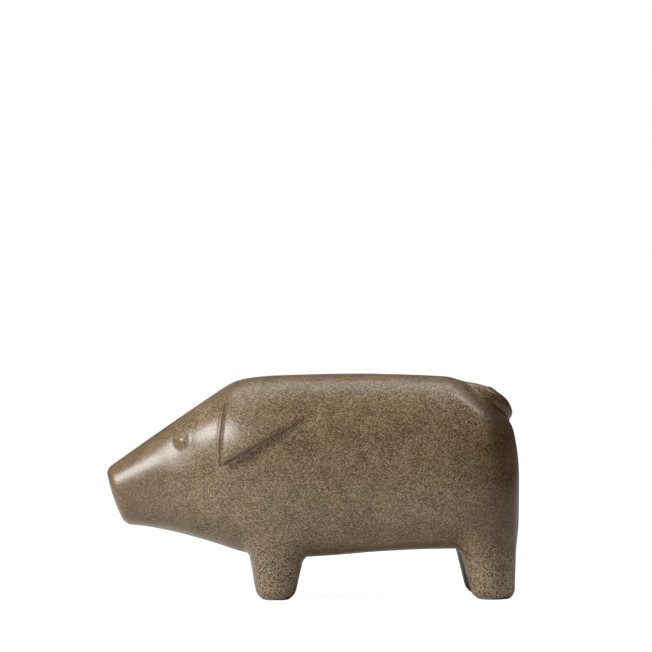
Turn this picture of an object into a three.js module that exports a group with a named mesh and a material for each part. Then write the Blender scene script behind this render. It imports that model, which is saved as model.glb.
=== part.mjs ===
// A standing pig figurine in glazed stoneware, cast in one piece: a cone of a head with a flat snout,
// two folded ears in relief, small round eyes, a straight back, four tapered legs and a curled tail.
//
// Units are millimetres, +Z is up and the snout points towards -X. The origin is on the ground, under
// the middle of the pig. The whole skin is the zero level of one field, negative inside the clay. Soft
// forms join by rounded unions, so each fillet has a radius. The field is meshed on a regular grid and
// then simplified, which leaves small triangles on the carving and large ones on the flanks.
import * as THREE from "three";

// Overall size
const BODY_LENGTH = 250; // snout to rump
const BACK_HEIGHT = 135; // ground to the highest point of the back
const BODY_WIDTH = 98; // across the flanks

// Outlines as [share of the length from the snout, share of the height or of half the width]
const BACK_LINE = [
  [-0.06, 0.497],
  [0.0, 0.575],
  [0.12, 0.732],
  [0.255, 0.903],
  [0.305, 0.96],
  [0.36, 0.984],
  [0.47, 0.995],
  [0.64, 1.0],
  [0.8, 0.991],
  [1.06, 0.955],
];
const UNDER_LINE = [
  [-0.06, 0.334],
  [0.08, 0.319],
  [0.16, 0.293],
  [0.25, 0.248],
  [0.34, 0.197],
  [0.43, 0.177],
  [0.53, 0.184],
  [0.66, 0.203],
  [0.8, 0.214],
  [1.06, 0.214],
];
const FLANK_LINE = [
  [-0.06, 0.235],
  [0.02, 0.355],
  [0.15, 0.57],
  [0.25, 0.765],
  [0.32, 0.9],
  [0.39, 0.975],
  [0.5, 1.0],
  [0.75, 1.0],
  [1.06, 0.95],
];
const SQUARENESS_LINE = [
  [-0.06, 2.1],
  [0.1, 2.2],
  [0.35, 2.6],
  [0.6, 2.8],
  [1.06, 2.8],
];
const WIDEST_LEVEL = 0.46; // level of the widest point between the under line and the back line

// Snout: a disc that leans back under its upper edge, a little domed
const SNOUT_LEAN = THREE.MathUtils.degToRad(18);
const SNOUT_LEVEL = 0.455; // middle of the disc, as a share of the height
const SNOUT_SETBACK_DEPTH = 3.6; // middle of the disc behind the foremost point
const SNOUT_DOME_RADIUS = 95;
const SNOUT_EDGE_RADIUS = 3.4;
const NOSTRIL_RADIUS = 3.1;
const NOSTRIL_DEPTH = 2.6;
const NOSTRIL_EDGE_POWER = 3; // higher for a sharper rim
const NOSTRIL_SPACING = 13; // between the two middles

// Rump: a bowed back wall, and a slope that cuts its upper edge away under the tail
const RUMP_LEVEL = 0.53; // level of the rearmost point
const RUMP_BOW_RADIUS = 128; // in side view, above the rearmost point
const RUMP_TAPER_RADIUS = 1400; // in side view, below it
const RUMP_PLAN_RADIUS = 150; // seen from above
const RUMP_CORNER_RADIUS = 15;
const SLOPE_START = 0.856; // where the slope leaves the back, as a share of the length
const SLOPE_ANGLE = THREE.MathUtils.degToRad(38.5);
const SLOPE_PLAN_RADIUS = 105; // seen along the slope
const SLOPE_EDGE_RADIUS = 5;

// Legs: where each begins and ends along the body at the ground, and how fast its two edges spread with
// height. The hind leg's column runs on behind the rump, which cuts it flush.
const FRONT_LEG = { front: 0.363, back: 0.452, spreadFront: 0.17, spreadBack: 0.23 };
const HIND_LEG = { front: 0.881, back: 1.03, spreadFront: 0.25, spreadBack: 0 };
const LEG_WIDTH = 28; // across one foot at the ground
const LEG_WIDTH_SPREAD = 0.05; // added width for each millimetre of height
const LEG_SPACING = 53; // across the pig, between the middles of the feet
const LEG_TOP = 75; // inside the body
const LEG_FILLET_RADIUS = 6;
const LEG_SQUARENESS = 2.4;
const TOE_RADIUS = 6.5;
const SOLE_CUT_DEPTH = 0.5; // how far the flat sole cuts into the round of the toes

// Ear: a flap that hangs from the top of the head, thickest at its tip
const EAR_TIP = [0.273, 0.593]; // share of the length, share of the height
const EAR_TOP = [0.289, 0.905];
const EAR_REAR = [0.482, 0.812];
const EAR_ROOT_TOP = [0.305, 0.985]; // the root line, where the flap has no thickness
const EAR_ROOT_REAR = [0.56, 0.83];
const EAR_FRONT_BOW_RADIUS = 130;
const EAR_THICKNESS = 6.5; // at the tip
const EAR_SINK_DEPTH = 1.2; // below the skin at the root line, where the flap fades out
const EAR_TIP_RADIUS = 3;
const EAR_RIM_RADIUS = 3.8;
const EAR_CREASE_RADIUS = 2;

// Eye: a low dome in a shallow socket
const EYE_PLACE = [0.181, 0.71];
const EYE_RADIUS = 4.6;
const EYE_HEIGHT = 1.1; // above the cheek
const EYE_CREASE_RADIUS = 2;
const SOCKET_PLACE = [0.173, 0.66];
const SOCKET_RADIUS = 9.5;
const SOCKET_DEPTH = 1.1;
const SOCKET_EDGE_POWER = 3; // higher for a sharper rim

// Tail: a rope that leaves the end of the back and winds into a curl, which bends over the slope's end
const TAIL_ROOT_RADIUS = 5.5;
const TAIL_TIP_RADIUS = 4;
const CURL_DOWN_SLOPE = 26; // from the start of the slope to the middle of the curl
const CURL_RADIUS = 11.5;
const CURL_PITCH_LENGTH = 5.5; // from one turn to the next
const CURL_TURNS = 1.2;
const CURL_LIFT_HEIGHT = 2.5; // middle of the rope above the slope, where the curl begins
const CURL_RISE_HEIGHT = 0.8; // added to the lift in one turn
const CURL_BEND_RADIUS = 14; // of the curl's lower half, over the end of the slope
const LEAD_IN_LENGTH = 15; // of the straight rope before the curl
const LEAD_IN_DEPTH = 12.6; // how far the rope starts below its own lift
const LEAD_IN_TURN = 0.46; // radians in which the lead-in dies away
const TAIL_STEPS = 36;
const TAIL_CREASE_RADIUS = 3.4;

// Mesh
const GRID_CELL = 2;
const GRID_MARGIN = 7;
const TRIANGLE_COUNT = 8600;
const PROJECTION_STEPS = 6;
const SKIN_TOLERANCE = 1e-4;
const LEAST_STEEPNESS = 1e-6;
const LEAST_SHARE = 0.1; // of a grid edge, between a vertex and either end
const SOLE_SNAP = 0.1; // a vertex this near the ground belongs to a sole
const NEAR_MIDDLE = 0.02; // share of a section's reach inside which its rays are not followed
const GRADIENT_STEP = 0.05;
const HALVINGS = 30; // of the body's width, down to far less than a micron
const FLAT_QUADRIC = 0.002; // below this the quadric has no single best point
const LENGTH_COST = 8e-6; // keeps triangles even where the skin is nearly flat
const LEAST_TURN_COSINE = 0.35;
const SLIVER_AREA = 1e-4;
const CELL_CORNERS = 8;
const QUADRIC_TERMS = 10;

const GLAZE_COLOUR = 0x7d6b54;
const GLAZE_ROUGHNESS = 0.38;

const clamp = THREE.MathUtils.clamp;
const alongBody = (share) => (share - 0.5) * BODY_LENGTH;
const placeOf = ([along, level]) => [alongBody(along), level * BACK_HEIGHT];

// A smooth curve through [position, value] points, with tangents from each point's neighbours.
function smoothCurve(points) {
  const slopes = points.map((_, i) => {
    const before = points[Math.max(i - 1, 0)];
    const after = points[Math.min(i + 1, points.length - 1)];
    return (after[1] - before[1]) / (after[0] - before[0]);
  });
  return (position) => {
    let i = 0;
    while (i < points.length - 2 && position > points[i + 1][0]) i++;
    const [start, from] = points[i];
    const [end, to] = points[i + 1];
    const span = end - start;
    const t = clamp((position - start) / span, 0, 1);
    const t2 = t * t;
    const t3 = t2 * t;
    return (
      (2 * t3 - 3 * t2 + 1) * from +
      (t3 - 2 * t2 + t) * span * slopes[i] +
      (3 * t2 - 2 * t3) * to +
      (t3 - t2) * span * slopes[i + 1]
    );
  };
}

// Joins and cuts of two fields with a round of the given radius along the line where they meet
function roundUnion(a, b, radius) {
  if (a > radius || b > radius) return Math.min(a, b);
  return Math.max(radius, Math.min(a, b)) - Math.hypot(Math.max(radius - a, 0), Math.max(radius - b, 0));
}

function roundCut(a, b, radius) {
  return -roundUnion(-a, -b, radius);
}

// Distance from a superellipse's outline, measured along the ray from its middle
function superellipseField(across, up, halfAcross, halfUp, squareness) {
  const u = Math.abs(across) / halfAcross;
  const v = Math.abs(up) / halfUp;
  const reach = (u ** squareness + v ** squareness) ** (1 / squareness);
  if (reach < NEAR_MIDDLE) return -Math.min(halfAcross, halfUp);
  return Math.hypot(across, up) * (1 - 1 / reach);
}

const backLine = smoothCurve(BACK_LINE);
const underLine = smoothCurve(UNDER_LINE);
const flankLine = smoothCurve(FLANK_LINE);
const squarenessLine = smoothCurve(SQUARENESS_LINE);

// The body's cross-section at one x. The last one is kept, because a grid column asks for it often.
let section = { x: NaN };
function sectionAt(x) {
  if (section.x === x) return section;
  const along = x / BODY_LENGTH + 0.5;
  const top = backLine(along) * BACK_HEIGHT;
  const bottom = underLine(along) * BACK_HEIGHT;
  section = {
    x,
    top,
    bottom,
    middle: bottom + WIDEST_LEVEL * (top - bottom),
    halfWidth: (flankLine(along) * BODY_WIDTH) / 2,
    squareness: squarenessLine(along),
  };
  return section;
}

function barrelField(x, y, z) {
  const { top, bottom, middle, halfWidth, squareness } = sectionAt(x);
  const reach = z > middle ? top - middle : middle - bottom;
  return superellipseField(y, z - middle, halfWidth, reach, squareness);
}

const SNOUT_MIDDLE = [-BODY_LENGTH / 2 + SNOUT_SETBACK_DEPTH, SNOUT_LEVEL * BACK_HEIGHT];

function snoutField(x, y, z) {
  const dx = x - SNOUT_MIDDLE[0];
  const dz = z - SNOUT_MIDDLE[1];
  const outward = -dx * Math.cos(SNOUT_LEAN) - dz * Math.sin(SNOUT_LEAN);
  const up = dz * Math.cos(SNOUT_LEAN) - dx * Math.sin(SNOUT_LEAN);
  const dome = (y * y + up * up) / (2 * SNOUT_DOME_RADIUS);
  const fromNostril = Math.hypot(Math.abs(y) - NOSTRIL_SPACING / 2, up) / NOSTRIL_RADIUS;
  return outward + dome + NOSTRIL_DEPTH * Math.exp(-(fromNostril ** NOSTRIL_EDGE_POWER));
}

function rumpField(x, y, z) {
  const rise = z - RUMP_LEVEL * BACK_HEIGHT;
  const radius = rise > 0 ? RUMP_BOW_RADIUS : RUMP_TAPER_RADIUS;
  return x - BODY_LENGTH / 2 + (rise * rise) / (2 * radius) + (y * y) / (2 * RUMP_PLAN_RADIUS);
}

// The slope's own axes: down the slope, across it and out of it
const SLOPE_ORIGIN = [alongBody(SLOPE_START), backLine(SLOPE_START) * BACK_HEIGHT];

function onSlope(x, z) {
  const dx = x - SLOPE_ORIGIN[0];
  const dz = z - SLOPE_ORIGIN[1];
  return {
    down: dx * Math.cos(SLOPE_ANGLE) - dz * Math.sin(SLOPE_ANGLE),
    out: dx * Math.sin(SLOPE_ANGLE) + dz * Math.cos(SLOPE_ANGLE),
  };
}

function slopeField(x, y, z) {
  return onSlope(x, z).out + (y * y) / (2 * SLOPE_PLAN_RADIUS);
}

function legField(leg, x, y, z) {
  const front = alongBody(leg.front) - leg.spreadFront * z;
  const back = alongBody(leg.back) + leg.spreadBack * z;
  const column = superellipseField(
    x - (front + back) / 2,
    Math.abs(y) - LEG_SPACING / 2,
    (back - front) / 2,
    (LEG_WIDTH + LEG_WIDTH_SPREAD * z) / 2,
    LEG_SQUARENESS,
  );
  return roundCut(column, z - LEG_TOP, LEG_FILLET_RADIUS);
}

// The ear's outline in side view: a bowed front edge and a straight lower edge, rounded at the tip
function circleThrough(from, to, radius) {
  const dx = to[0] - from[0];
  const dz = to[1] - from[1];
  const chord = Math.hypot(dx, dz);
  const back = Math.sqrt(radius * radius - (chord * chord) / 4);
  return [(from[0] + to[0]) / 2 + (back * dz) / chord, (from[1] + to[1]) / 2 - (back * dx) / chord];
}

// Distance to the left of the line from one point to another
function leftOf(from, to, x, z) {
  const dx = to[0] - from[0];
  const dz = to[1] - from[1];
  return ((z - from[1]) * dx - (x - from[0]) * dz) / Math.hypot(dx, dz);
}

const earTip = placeOf(EAR_TIP);
const earRear = placeOf(EAR_REAR);
const earBowCentre = circleThrough(earTip, placeOf(EAR_TOP), EAR_FRONT_BOW_RADIUS);
const earRoot = [placeOf(EAR_ROOT_TOP), placeOf(EAR_ROOT_REAR)];
const earDrop = -leftOf(...earRoot, ...earTip);

function earField(x, z, barrel) {
  const frontEdge = Math.hypot(x - earBowCentre[0], z - earBowCentre[1]) - EAR_FRONT_BOW_RADIUS;
  const lowerEdge = -leftOf(earTip, earRear, x, z);
  const outline = roundCut(frontEdge, lowerEdge, EAR_TIP_RADIUS);
  const drop = clamp(-leftOf(...earRoot, x, z) / earDrop, 0, 1);
  const thickness = THREE.MathUtils.lerp(-EAR_SINK_DEPTH, EAR_THICKNESS, drop * (2 - drop));
  return roundCut(outline, barrel - thickness, EAR_RIM_RADIUS);
}

// Half the body's width at a point of the side view, found by halving
function flankAt([x, z]) {
  let inside = 0;
  let outside = BODY_WIDTH;
  for (let i = 0; i < HALVINGS; i++) {
    const y = (inside + outside) / 2;
    if (barrelField(x, y, z) < 0) inside = y;
    else outside = y;
  }
  return inside;
}

function gradientOf(field, x, y, z) {
  const h = GRADIENT_STEP;
  return [
    (field(x + h, y, z) - field(x - h, y, z)) / (2 * h),
    (field(x, y + h, z) - field(x, y - h, z)) / (2 * h),
    (field(x, y, z + h) - field(x, y, z - h)) / (2 * h),
  ];
}

// A share of the body in the side view as a point on the body's side
function besideBody(share) {
  const place = placeOf(share);
  return [place[0], flankAt(place), place[1]];
}

const socketMiddle = new THREE.Vector3(...besideBody(SOCKET_PLACE));

// The eye's ball sits behind the cheek, so that only EYE_HEIGHT of it stands out
const eyeSurface = besideBody(EYE_PLACE);
const eyeNormal = new THREE.Vector3(...gradientOf(barrelField, ...eyeSurface)).normalize();
const eyeBall = new THREE.Vector3(...eyeSurface).addScaledVector(eyeNormal, EYE_HEIGHT - EYE_RADIUS);

function distanceTo(place, x, y, z) {
  return Math.hypot(x - place.x, y - place.y, z - place.z);
}

// The tail's middle line as points with a radius: a spiral about the curl's middle, which starts far
// out at the end of the back and below the skin
function tailPoints() {
  const points = [];
  const lastTurn = CURL_TURNS * 2 * Math.PI;
  for (let i = 0; i <= TAIL_STEPS; i++) {
    const turn = (lastTurn * i) / TAIL_STEPS;
    const turns = turn / (2 * Math.PI);
    const leadIn = Math.exp(-turn / LEAD_IN_TURN);
    const radius = CURL_RADIUS - CURL_PITCH_LENGTH * turns + LEAD_IN_LENGTH * leadIn;
    const down = CURL_DOWN_SLOPE - radius * Math.cos(turn);
    const bend = Math.max(down - CURL_DOWN_SLOPE, 0) ** 2 / (2 * CURL_BEND_RADIUS);
    const out = CURL_LIFT_HEIGHT + CURL_RISE_HEIGHT * turns - LEAD_IN_DEPTH * leadIn - bend;
    points.push({
      x: SLOPE_ORIGIN[0] + down * Math.cos(SLOPE_ANGLE) + out * Math.sin(SLOPE_ANGLE),
      y: -radius * Math.sin(turn),
      z: SLOPE_ORIGIN[1] - down * Math.sin(SLOPE_ANGLE) + out * Math.cos(SLOPE_ANGLE),
      radius: THREE.MathUtils.lerp(TAIL_ROOT_RADIUS, TAIL_TIP_RADIUS, turn / lastTurn),
    });
  }
  return points;
}

const tail = tailPoints();
const tailMiddle = tail[Math.floor(tail.length / 2)];
const tailGaps = tail.map(({ x, y, z }) => distanceTo(tailMiddle, x, y, z));
const tailReach = TAIL_ROOT_RADIUS + Math.max(...tailGaps);

function tailField(x, y, z) {
  const away = distanceTo(tailMiddle, x, y, z) - tailReach;
  if (away > TAIL_CREASE_RADIUS) return away;
  let nearest = Infinity;
  for (let i = 1; i < tail.length; i++) {
    const a = tail[i - 1];
    const b = tail[i];
    const ab = [b.x - a.x, b.y - a.y, b.z - a.z];
    const ap = [x - a.x, y - a.y, z - a.z];
    const along = clamp(
      (ap[0] * ab[0] + ap[1] * ab[1] + ap[2] * ab[2]) / (ab[0] ** 2 + ab[1] ** 2 + ab[2] ** 2),
      0,
      1,
    );
    const gap = Math.hypot(ap[0] - along * ab[0], ap[1] - along * ab[1], ap[2] - along * ab[2]);
    nearest = Math.min(nearest, gap - THREE.MathUtils.lerp(a.radius, b.radius, along));
  }
  return nearest;
}

// The whole pig: negative inside the clay, zero on its skin
function pigField(x, y, z) {
  const side = Math.abs(y);
  const fromEye = distanceTo(eyeBall, x, side, z);
  const fromSocket = distanceTo(socketMiddle, x, side, z) / SOCKET_RADIUS;
  const socket = SOCKET_DEPTH * Math.exp(-(fromSocket ** SOCKET_EDGE_POWER));
  const barrel = barrelField(x, y, z) + socket;
  let pig = roundUnion(barrel, earField(x, z, barrel), EAR_CREASE_RADIUS);
  pig = roundUnion(pig, fromEye - EYE_RADIUS, EYE_CREASE_RADIUS);
  pig = roundCut(pig, snoutField(x, y, z), SNOUT_EDGE_RADIUS);
  for (const leg of [FRONT_LEG, HIND_LEG]) {
    pig = roundUnion(pig, legField(leg, x, y, z), LEG_FILLET_RADIUS);
  }
  pig = roundCut(pig, rumpField(x, y, z), RUMP_CORNER_RADIUS);
  pig = roundCut(pig, slopeField(x, y, z), SLOPE_EDGE_RADIUS);
  pig = Math.max(roundCut(pig, -z - SOLE_CUT_DEPTH, TOE_RADIUS), -z);
  return roundUnion(pig, tailField(x, y, z), TAIL_CREASE_RADIUS);
}

// Vertices moved along the field's gradient onto its zero level
function projectOntoSkin(vertices) {
  for (const vertex of vertices) {
    for (let step = 0; step < PROJECTION_STEPS; step++) {
      const field = pigField(...vertex);
      if (Math.abs(field) < SKIN_TOLERANCE) break;
      const gradient = gradientOf(pigField, ...vertex);
      const steepness = gradient.reduce((sum, g) => sum + g * g, LEAST_STEEPNESS);
      const move = clamp(field / steepness, -GRID_CELL, GRID_CELL);
      for (let axis = 0; axis < 3; axis++) vertex[axis] -= move * gradient[axis];
    }
    if (Math.abs(vertex[2]) < SOLE_SNAP) vertex[2] = 0;
  }
}

// A tetrahedron's share of the skin, as triangles that face out of the clay. Corners 0 to 3 keep their
// handedness when all are renumbered by the same exclusive or, which settles each triangle's direction.
function trianglesIn(inside, crossing) {
  const count = inside.filter(Boolean).length;
  if (count === 0 || count === 4) return [];
  if (count === 2) {
    const v = inside.indexOf(true);
    const w = inside.lastIndexOf(true);
    const p = v ^ (((v ^ w) % 3) + 1);
    const q = v ^ w ^ p;
    const quad = [crossing(v, p), crossing(v, q), crossing(w, q), crossing(w, p)];
    return [
      [quad[0], quad[1], quad[2]],
      [quad[0], quad[2], quad[3]],
    ];
  }
  const v = inside.indexOf(count === 1);
  const triangle = [crossing(v, v ^ 1), crossing(v, v ^ 2), crossing(v, v ^ 3)];
  return [count === 1 ? triangle : triangle.reverse()];
}

// The field's zero level as triangles, worked out in the six tetrahedra of each grid cell. A
// tetrahedron's corners lie on one of the six ways along three edges from the cell's corner 0 to 7.
function skinMesh(low, high) {
  const [nx, ny, nz] = low.map((from, axis) => Math.ceil((high[axis] - from) / GRID_CELL) + 1);
  const nodeAt = (i, j, k) => (i * ny + j) * nz + k;
  const placeAt = (node) => [
    low[0] + Math.floor(node / (ny * nz)) * GRID_CELL,
    low[1] + (Math.floor(node / nz) % ny) * GRID_CELL,
    low[2] + (node % nz) * GRID_CELL,
  ];
  const values = new Float32Array(nx * ny * nz);
  for (let node = 0; node < values.length; node++) values[node] = pigField(...placeAt(node));

  const cornerSteps = [0, 1, 2, 3, 4, 5, 6, 7].map((bits) => nodeAt(bits & 1, (bits >> 1) & 1, bits >> 2));
  const ways = [[1, 2, 4], [2, 4, 1], [4, 1, 2], [2, 1, 4], [1, 4, 2], [4, 2, 1]].map(([a, b], way) => {
    const corners = [0, a, a | b, CELL_CORNERS - 1];
    return way < 3 ? corners : [corners[0], corners[2], corners[1], corners[3]];
  });
  const vertices = [];
  const triangles = [];
  const vertexOn = new Int32Array(values.length * CELL_CORNERS).fill(-1);
  const vertexBetween = (node, a, b) => {
    const from = node + cornerSteps[Math.min(a, b)];
    const to = node + cornerSteps[Math.max(a, b)];
    const edge = from * CELL_CORNERS + (a ^ b);
    if (vertexOn[edge] < 0) {
      const share = clamp(values[from] / (values[from] - values[to]), LEAST_SHARE, 1 - LEAST_SHARE);
      const end = placeAt(to);
      vertexOn[edge] = vertices.length;
      vertices.push(placeAt(from).map((start, axis) => start + share * (end[axis] - start)));
    }
    return vertexOn[edge];
  };
  for (let i = 0; i < nx - 1; i++) {
    for (let j = 0; j < ny - 1; j++) {
      for (let k = 0; k < nz - 1; k++) {
        const node = nodeAt(i, j, k);
        const inCell = cornerSteps.map((step) => values[node + step] < 0);
        if (inCell.every((inside) => inside === inCell[0])) continue;
        for (const corners of ways) {
          const crossing = (v, w) => vertexBetween(node, corners[v], corners[w]);
          triangles.push(...trianglesIn(corners.map((corner) => inCell[corner]), crossing));
        }
      }
    }
  }
  return { vertices, triangles };
}

// A triangle's normal, as long as twice its area
function normalOf(a, b, c) {
  return new THREE.Vector3().subVectors(b, a).cross(new THREE.Vector3().subVectors(c, a));
}

// A vertex's quadric is the weighted sum of its triangles' squared plane distances, as ten numbers
function planeQuadric(a, b, c) {
  const normal = normalOf(a, b, c);
  const area = normal.length() / 2;
  normal.normalize();
  const { x, y, z } = normal;
  const w = -normal.dot(a);
  return [x * x, x * y, x * z, x * w, y * y, y * z, y * w, z * z, z * w, w * w].map((term) => term * area);
}

function quadricError(q, { x, y, z }) {
  return (
    q[0] * x * x + 2 * q[1] * x * y + 2 * q[2] * x * z + 2 * q[3] * x +
    q[4] * y * y + 2 * q[5] * y * z + 2 * q[6] * y +
    q[7] * z * z + 2 * q[8] * z + q[9]
  );
}

// The cheapest place for the vertex that an edge collapses to
function collapsePlace(quadric, a, b) {
  const solve = new THREE.Matrix3().set(
    quadric[0], quadric[1], quadric[2],
    quadric[1], quadric[4], quadric[5],
    quadric[2], quadric[5], quadric[7],
  );
  const middle = new THREE.Vector3().addVectors(a, b).multiplyScalar(0.5);
  const places = [a, b, middle];
  const scale = Math.cbrt(Math.abs(solve.determinant()));
  if (scale > FLAT_QUADRIC * (quadric[0] + quadric[4] + quadric[7])) {
    const best = new THREE.Vector3(-quadric[3], -quadric[6], -quadric[8]).applyMatrix3(solve.invert());
    if (best.distanceTo(middle) < a.distanceTo(b)) places.push(best);
  }
  const costs = places.map((place) => quadricError(quadric, place));
  const cheapest = costs.indexOf(Math.min(...costs));
  return { place: places[cheapest].clone(), cost: costs[cheapest] };
}

// A binary heap of edges, cheapest first
class EdgeHeap {
  items = [];

  push(item) {
    const { items } = this;
    let i = items.push(item) - 1;
    while (i > 0) {
      const parent = (i - 1) >> 1;
      if (items[parent].cost <= item.cost) break;
      items[i] = items[parent];
      i = parent;
    }
    items[i] = item;
  }

  pop() {
    const { items } = this;
    const first = items[0];
    const last = items.pop();
    if (!items.length) return first;
    let i = 0;
    for (;;) {
      let child = 2 * i + 1;
      if (child >= items.length) break;
      if (child + 1 < items.length && items[child + 1].cost < items[child].cost) child++;
      if (items[child].cost >= last.cost) break;
      items[i] = items[child];
      i = child;
    }
    items[i] = last;
    return first;
  }
}

// Collapses the cheapest edges until the triangle count is reached. An edge is left alone where its
// collapse would pinch the skin or turn a triangle over.
function simplify({ vertices, triangles }, triangleCount) {
  const places = vertices.map((vertex) => new THREE.Vector3(...vertex));
  const quadrics = places.map(() => new Array(QUADRIC_TERMS).fill(0));
  const around = places.map(() => new Set());
  const live = triangles.map((triangle) => [...triangle]);
  live.forEach((triangle, index) => {
    const quadric = planeQuadric(...triangle.map((v) => places[v]));
    for (const v of triangle) {
      around[v].add(index);
      quadric.forEach((term, i) => (quadrics[v][i] += term));
    }
  });
  const version = new Array(places.length).fill(0);
  const neighboursOf = (v) => {
    const found = new Set();
    for (const index of around[v]) {
      for (const other of live[index]) found.add(other);
    }
    found.delete(v);
    return found;
  };
  const heap = new EdgeHeap();
  const offer = (a, b) => {
    const quadric = quadrics[a].map((term, i) => term + quadrics[b][i]);
    const { place, cost } = collapsePlace(quadric, places[a], places[b]);
    const shortness = LENGTH_COST * places[a].distanceToSquared(places[b]);
    heap.push({ a, b, place, cost: cost + shortness, made: version[a] + version[b] });
  };
  places.forEach((_, v) => neighboursOf(v).forEach((other) => other > v && offer(v, other)));

  const turnsOver = (v, without, place) => {
    for (const index of around[v]) {
      const triangle = live[index];
      if (triangle.includes(without)) continue;
      const before = triangle.map((corner) => places[corner]);
      const after = triangle.map((corner) => (corner === v ? place : places[corner]));
      const was = normalOf(...before).normalize();
      const is = normalOf(...after);
      if (is.dot(was) < LEAST_TURN_COSINE * is.length() || is.length() < SLIVER_AREA) return true;
    }
    return false;
  };

  let count = live.length;
  while (count > triangleCount && heap.items.length) {
    const { a, b, place, made } = heap.pop();
    if (!around[a].size || !around[b].size || made !== version[a] + version[b]) continue;
    const shared = [...around[a]].filter((index) => around[b].has(index));
    const others = neighboursOf(b);
    const common = [...neighboursOf(a)].filter((v) => others.has(v));
    if (shared.length !== 2 || common.length !== 2) continue;
    if (turnsOver(a, b, place) || turnsOver(b, a, place)) continue;
    for (const index of shared) {
      for (const v of live[index]) around[v].delete(index);
      live[index] = null;
    }
    for (const index of around[b]) {
      live[index] = live[index].map((v) => (v === b ? a : v));
      around[a].add(index);
    }
    around[b].clear();
    places[a] = place;
    quadrics[b].forEach((term, i) => (quadrics[a][i] += term));
    version[a]++;
    count -= 2;
    for (const other of neighboursOf(a)) offer(a, other);
  }
  const kept = places.map((_, v) => v).filter((v) => around[v].size);
  const indexOf = new Map(kept.map((v, i) => [v, i]));
  return {
    vertices: kept.map((v) => places[v].toArray()),
    triangles: live.filter(Boolean).map((triangle) => triangle.map((v) => indexOf.get(v))),
  };
}

function pigGeometry() {
  const low = [-BODY_LENGTH / 2 - GRID_MARGIN, -BODY_WIDTH / 2 - GRID_MARGIN, -GRID_MARGIN];
  const high = [BODY_LENGTH / 2 + GRID_MARGIN, BODY_WIDTH / 2 + GRID_MARGIN, BACK_HEIGHT + GRID_MARGIN];
  const skin = skinMesh(low, high);
  projectOntoSkin(skin.vertices);
  const { vertices, triangles } = simplify(skin, TRIANGLE_COUNT);
  projectOntoSkin(vertices);
  const geometry = new THREE.BufferGeometry();
  geometry.setAttribute("position", new THREE.Float32BufferAttribute(vertices.flat(), 3));
  geometry.setIndex(triangles.flat());
  geometry.computeBoundingBox();
  const { min, max } = geometry.boundingBox;
  geometry.translate(-(min.x + max.x) / 2, -(min.y + max.y) / 2, -min.z);
  geometry.computeVertexNormals();
  return geometry;
}

const glaze = new THREE.MeshStandardMaterial({ color: GLAZE_COLOUR, roughness: GLAZE_ROUGHNESS });
const pig = new THREE.Mesh(pigGeometry(), glaze);
pig.name = "pig_figurine";

const figurine = new THREE.Group();
figurine.add(pig);

export default figurine;
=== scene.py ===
"""A standing pig figurine in speckled satin stoneware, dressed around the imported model.

The skin is the zero level of one field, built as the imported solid's is and with nearly the same sizes
in millimetres, but meshed finely and with a groove along each ear's edges. The finished mesh is in
metres, in the frame's own place.
"""
import logging
import math
from collections.abc import Callable, Sequence
from dataclasses import dataclass, field
from enum import Enum

import bpy
import numpy as np
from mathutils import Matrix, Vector


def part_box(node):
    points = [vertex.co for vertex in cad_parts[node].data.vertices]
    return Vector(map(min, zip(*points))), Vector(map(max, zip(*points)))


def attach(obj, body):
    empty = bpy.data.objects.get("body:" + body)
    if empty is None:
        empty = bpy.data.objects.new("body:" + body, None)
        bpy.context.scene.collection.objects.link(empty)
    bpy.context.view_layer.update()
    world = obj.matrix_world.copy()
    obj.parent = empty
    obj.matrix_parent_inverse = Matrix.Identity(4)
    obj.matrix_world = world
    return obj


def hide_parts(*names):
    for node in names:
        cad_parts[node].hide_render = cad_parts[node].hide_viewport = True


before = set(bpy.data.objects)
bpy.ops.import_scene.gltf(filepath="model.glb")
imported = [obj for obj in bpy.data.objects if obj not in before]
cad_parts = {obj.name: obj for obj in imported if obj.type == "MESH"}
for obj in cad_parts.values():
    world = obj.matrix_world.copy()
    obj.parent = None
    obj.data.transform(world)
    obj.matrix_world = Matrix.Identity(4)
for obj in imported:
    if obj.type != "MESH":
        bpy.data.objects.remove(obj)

LOG = logging.getLogger("pig_figurine")
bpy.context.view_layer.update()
NODE = "pig_figurine"
MM = 0.001
WHITE = (1, 1, 1, 1)
HALVINGS = 30  # steps in the search for the flank's skin
LEAST_REACH = 1e-3  # keeps a ray in a superellipse from having no length
CORE_REACH = 0.02  # the share of a section around its middle where no ray is traced
JUST_INSIDE = -0.001  # what a filled grid corner's value becomes
LEAST_STEEPNESS = 1e-6  # keeps a step onto the skin finite where the field is flat
Field = Callable[[np.ndarray, np.ndarray, np.ndarray], np.ndarray]


# The shape's helpers

@dataclass(frozen=True)
class Profile:
    """A smooth curve through (position, value) points, with tangents from each point's neighbours."""

    points: tuple[tuple[float, float], ...]

    def at(self, position: np.ndarray) -> np.ndarray:
        """Reads the curve.

        Args:
            position: where to read it.

        Returns:
            The curve's value at each position.
        """
        places, values = np.array(self.points).T
        slopes = np.empty_like(values)
        slopes[1:-1] = (values[2:] - values[:-2]) / (places[2:] - places[:-2])
        slopes[0] = (values[1] - values[0]) / (places[1] - places[0])
        slopes[-1] = (values[-1] - values[-2]) / (places[-1] - places[-2])
        i = np.clip(np.searchsorted(places, position) - 1, 0, len(places) - 2)
        span = places[i + 1] - places[i]
        t = np.clip((position - places[i]) / span, 0, 1)
        return (
            (2 * t**3 - 3 * t**2 + 1) * values[i]
            + (t**3 - 2 * t**2 + t) * span * slopes[i]
            + (3 * t**2 - 2 * t**3) * values[i + 1]
            + (t**3 - t**2) * span * slopes[i + 1]
        )


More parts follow.
